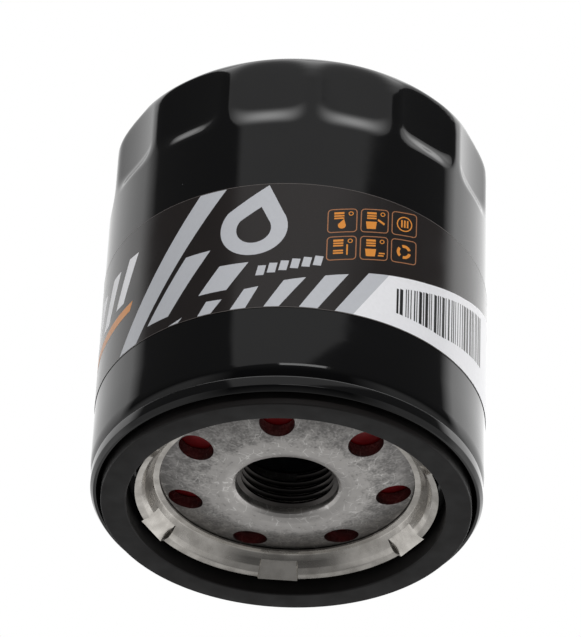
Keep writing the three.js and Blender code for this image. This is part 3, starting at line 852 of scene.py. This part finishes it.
def buildPlate():
    low, high = cadBox("base_plate")
    rim = high.x
    crestRadius, crestRound = plate["crest"]
    bm = bmesh.new()
    turnProfile(bm, roundedPath([
        (plate["majorRadius"], 5.95),
        *plate["underside"],
        (crestRadius, low.z, crestRound),
        *plate["dish"],
        (rim, plate["rimHeight"]),
        (rim, plate["rimHeight"] + plate["thickness"]),
        *((radius, height + plate["thickness"], rounding) for radius, height, rounding in plate["topside"]),
        (plate["collar"], high.z, 0.4),
        (plate["majorRadius"], high.z),
    ], closed=True), plate["steps"])
    piece = finishPiece("base_plate_pressing", bm, finishes["zinc"], "can", ["base_plate"])
    drillInlets(piece)


def buildThread():
    # A 60 degree ridge wound up the collar's bore, its root buried in the wall.
    low, high = cadBox("base_plate")
    major, minor = plate["majorRadius"], plate["minorRadius"]
    start, end = plate["threadStart"], high.z - plate["threadStop"]
    section = [(major + 0.15, -0.72), (major, -0.64), (minor, -0.18),
               (minor, 0.18), (major, 0.64), (major + 0.15, 0.72)]
    bm = bmesh.new()
    verts = [bm.verts.new((radius, 0, start + height)) for radius, height in section]
    face = bm.faces.new(verts)
    perTurn = plate["threadSteps"]
    steps = round((end - start) / plate["pitch"] * perTurn)
    bmesh.ops.spin(bm, geom=[face] + face.edges[:] + verts, cent=(0, 0, 0), axis=(0, 0, 1),
                   dvec=(0, 0, plate["pitch"] / perTurn), angle=2 * math.pi * steps / perTurn, steps=steps,
                   use_merge=False, use_duplicate=False)
    bmesh.ops.rotate(bm, verts=bm.verts, cent=(0, 0, 0), matrix=Matrix.Rotation(-math.pi / 2, 3, "Z"))
    finishPiece("collar_thread", bm, finishes["thread"], "can", sharpAngle=40)


buildPlate()
buildThread()
print("base plate: pressing with", plate["inlets"], "inlets and a thread")


valve = {
    "bore": 11.45,
    "hub": 13.6,                # outer radius of the hub that grips the collar
    "under": (                  # radius, height and rounding, along the lip's underside
        (11.45, 9.2, 0.2),
        (12.8, 8.4, 0.5),
        (15.2, 7.62, 0.4),
        (20.2, 8.56, 10),
        (24.2, 9.62, 2),
    ),
    "tipHeight": 9.66,
    "over": (
        (20.2, 9.5, 8),
        (15.4, 8.7, 1.2),
        (13.6, 10.4, 0.8),
    ),
    "held": 13.5,               # above this height the rubber stays with the can
    "free": 10.8,               # and below this it moves with the lip
    "steps": 240,
}


def buildValve():
    hubTop = cadBox("anti_drain_valve_hub")[1].z - 0.1
    lipHigh = cadBox("anti_drain_valve_lip")[1]
    bm = bmesh.new()
    turnProfile(bm, roundedPath([
        *valve["under"],
        (lipHigh.x, valve["tipHeight"], 0.2),
        (lipHigh.x, lipHigh.z, 0.25),
        *valve["over"],
        (valve["hub"], hubTop, 0.5),
        (valve["bore"], hubTop, 0.4),
    ], closed=True), valve["steps"])
    piece = finishPiece("anti_drain_valve", bm, finishes["silicone"], None,
                        ["anti_drain_valve_hub", "anti_drain_valve_lip"])
    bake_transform(piece)


buildValve()
print("anti-drain valve: hub and lip")


springs = {
    "bypass_spring": {
        "radius": 5.2,
        "wire": 1.0,
        "turns": 5,
        "body": "element",
        "joint": "bypass_valve_open",
        "fixed": "low",
        "travel": 3.5,
    },
    "element_spring": {
        "radius": 16.0,
        "wire": 1.8,
        "turns": 3,
        "body": "can",
        "joint": "element_float",
        "fixed": "high",
        "travel": 1.5,
    },
}


def buildSpring(node, spring):
    low, high = cadBox(node)
    wire = spring["wire"] / 2
    rise = high.z - low.z - 2 * wire
    steps = spring["turns"] * 48
    bm = bmesh.new()
    place = Matrix.Translation((spring["radius"], 0, low.z + wire)) @ Matrix.Rotation(math.pi / 2, 4, "X")
    bmesh.ops.create_circle(bm, cap_ends=True, segments=14, radius=wire, matrix=place)
    bmesh.ops.spin(bm, geom=bm.verts[:] + bm.edges[:] + bm.faces[:], cent=(0, 0, 0), axis=(0, 0, 1),
                   dvec=(0, 0, rise / steps), angle=2 * math.pi * spring["turns"], steps=steps,
                   use_merge=False, use_duplicate=False)
    piece = finishPiece(node + "_coil", bm, finishes["wire"], spring["body"], [node])
    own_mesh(piece)


for node, spring in springs.items():
    buildSpring(node, spring)
print("springs:", len(springs))


innerFinishes = {                   # the frame's own pieces inside the can, which keep their shapes
    "lower_end_cap": "sheet",
    "upper_end_cap": "sheet",
    "media_seam_clip": "sheet",
    "centre_tube": "sheet",
    "bypass_cage": "sheet",
    "bypass_poppet": "sheet",
    "bypass_seal": "rubber",
    "lower_potting": "adhesive",
    "upper_potting": "adhesive",
    "filter_media": "paper",
    "wire_backing": "wire",
}
for node, finish in innerFinishes.items():
    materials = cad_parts[node].data.materials
    materials.clear()
    materials.append(finishes[finish])
print("element: inner pieces finished")


shot = {
    "lens": 227.9,
    "sensor": 36,
    "place": (0, -630.85, -412.5),
    "aim": (-0.77, 0, 44.1),
    "roll": 2.62,
}


studio = {
    "roomAbove": 0.1,           # brightness of the dim room, above and below the bench
    "roomBelow": 0.03,
    "tableGlow": 0.26,          # light that comes up steeply from the table
    "sideGlow": 0.55,           # and from the two sides, low down
    "softboxLeft": -0.485,      # sideways direction of the softbox's edges
    "softboxRight": -1.453,     # the right edge leans out as it rises
    "softboxLean": 3.2,
    "softboxLow": 0.56,
    "softboxTop": 2.6,
    "cardLeft": 1.25,           # white card behind the filter, brighter on the right
    "cardRight": 1.9,
    "bench": 0.43,              # share of the card's light that comes off the bench
    "benchHeight": -0.62,       # metres, well below the filter
    "benchSize": 9,
    "lamps": (                  # name, place, size, watts, whether the enamel mirrors it
        ("front_strip", (0.1, -1.0, 0.4), (0.45, 0.16), 0.75, True),
        ("front_fill", (0.1, -1.0, 0.4), (0.56, 0.16), 7.2, False),
    ),
}


def placeCamera():
    data = bpy.data.cameras.new("camera")
    data.lens = shot["lens"]
    data.sensor_width = shot["sensor"]
    data.clip_start, data.clip_end = 0.01, 20       # metres
    camera = bpy.data.objects.new("camera", data)
    bpy.context.scene.collection.objects.link(camera)
    camera.location = Vector(shot["place"]) * mm
    aim = Vector(shot["aim"]) * mm
    look = (aim - camera.location).to_track_quat("-Z", "Y").to_matrix()
    camera.rotation_euler = (look @ Matrix.Rotation(math.radians(shot["roll"]), 3, "Z")).to_euler()
    bpy.context.scene.camera = camera


def placeFloor():
    bm = bmesh.new()
    bmesh.ops.create_grid(bm, x_segments=1, y_segments=1, size=studio["benchSize"])
    mesh = bpy.data.meshes.new("floor")
    bm.to_mesh(mesh)
    bm.free()
    mesh.materials.append(finishes["card"])
    mesh.transform(Matrix.Translation((0, 0, studio["benchHeight"])))
    floor = bpy.data.objects.new("floor", mesh)
    bpy.context.scene.collection.objects.link(floor)
    floor.visible_glossy = False        # the world lights the filter from below instead
    floor.visible_diffuse = False


def lightRoom():
    # Apart from the two lamps, each light is a band of directions in the world, so that the
    # enamel mirrors soft-edged boxes and cards. The camera itself sees plain white.
    world = bpy.data.worlds.new("studio")
    world.use_nodes = True
    tree = world.node_tree
    tree.nodes.clear()
    whichWay = addNode(tree, "ShaderNodeTexCoord").outputs["Generated"]
    across, depth, height = addNode(tree, "ShaderNodeSeparateXYZ", {0: whichWay}).outputs
    aside = addNode(tree, "ShaderNodeMath", {0: across}, operation="ABSOLUTE")
    leaning = addNode(tree, "ShaderNodeMath",
                      {0: height, 1: studio["softboxLean"], 2: studio["softboxRight"]},
                      operation="MULTIPLY_ADD")
    beyond = addNode(tree, "ShaderNodeMath", {0: leaning, 1: across}, operation="SUBTRACT")
    left = studio["softboxLeft"]
    ramps = {                           # value, from low, from high, to low, to high
        "room": (height, -0.1, 0.3, studio["roomBelow"], studio["roomAbove"]),
        "table": (height, -0.45, -0.65, 0, studio["tableGlow"]),
        "lowDown": (height, 0.1, -0.1, 0, studio["sideGlow"]),
        "sides": (aside, 0.5, 0.8, 0, 1),
        "softbox": (height, 0.64, 0.96, studio["softboxLow"], studio["softboxTop"]),
        "leftEdge": (across, left - 0.02, left + 0.02, 0, 1),
        "rightEdge": (beyond, -0.02, 0.03, 0, 1),
        "front": (depth, 0.05, 0.2, 1, 0),
        "card": (across, -0.1, 0.2, studio["cardLeft"], studio["cardRight"]),
        "behind": (depth, 0.1, 0.26, 0, 1),
        "aboveBench": (height, -0.02, 0.12, studio["bench"], 1),
        "underBench": (height, -0.95, -0.5, 0.3, 1),
    }
    levels = {}
    for name, (value, fromLow, fromHigh, toLow, toHigh) in ramps.items():
        levels[name] = addNode(tree, "ShaderNodeMapRange",
                               {"Value": value, 1: fromLow, 2: fromHigh, 3: toLow, 4: toHigh})
    glow = levels["room"]
    for shares in (("table",), ("lowDown", "sides"), ("softbox", "leftEdge", "rightEdge", "front"),
                   ("card", "behind", "aboveBench", "underBench")):
        light = levels[shares[0]]
        for share in shares[1:]:
            light = addNode(tree, "ShaderNodeMath", {0: light, 1: levels[share]}, operation="MULTIPLY")
        glow = addNode(tree, "ShaderNodeMath", {0: glow, 1: light}, operation="ADD")
    seen = addNode(tree, "ShaderNodeLightPath").outputs["Is Camera Ray"]
    room = addNode(tree, "ShaderNodeBackground", {"Strength": glow})
    paper = addNode(tree, "ShaderNodeBackground", {"Color": (1, 1, 1, 1)})
    both = addNode(tree, "ShaderNodeMixShader", {0: seen, 1: room, 2: paper})
    addNode(tree, "ShaderNodeOutputWorld", {0: both})
    bpy.context.scene.world = world
    bpy.context.scene.view_settings.view_transform = "Standard"


def placeLamps():
    for name, lampPlace, size, power, mirrored in studio["lamps"]:
        data = bpy.data.lights.new(name, "AREA")
        data.shape = "RECTANGLE"
        data.size, data.size_y = size
        data.energy = power
        lamp = bpy.data.objects.new(name, data)
        bpy.context.scene.collection.objects.link(lamp)
        lamp.location = lampPlace
        lamp.rotation_euler = (-lamp.location).to_track_quat("-Z", "Y").to_euler()
        lamp.visible_camera = False
        lamp.visible_glossy = mirrored


placeCamera()
placeFloor()
lightRoom()
placeLamps()
print("stage: camera, bench and lights")
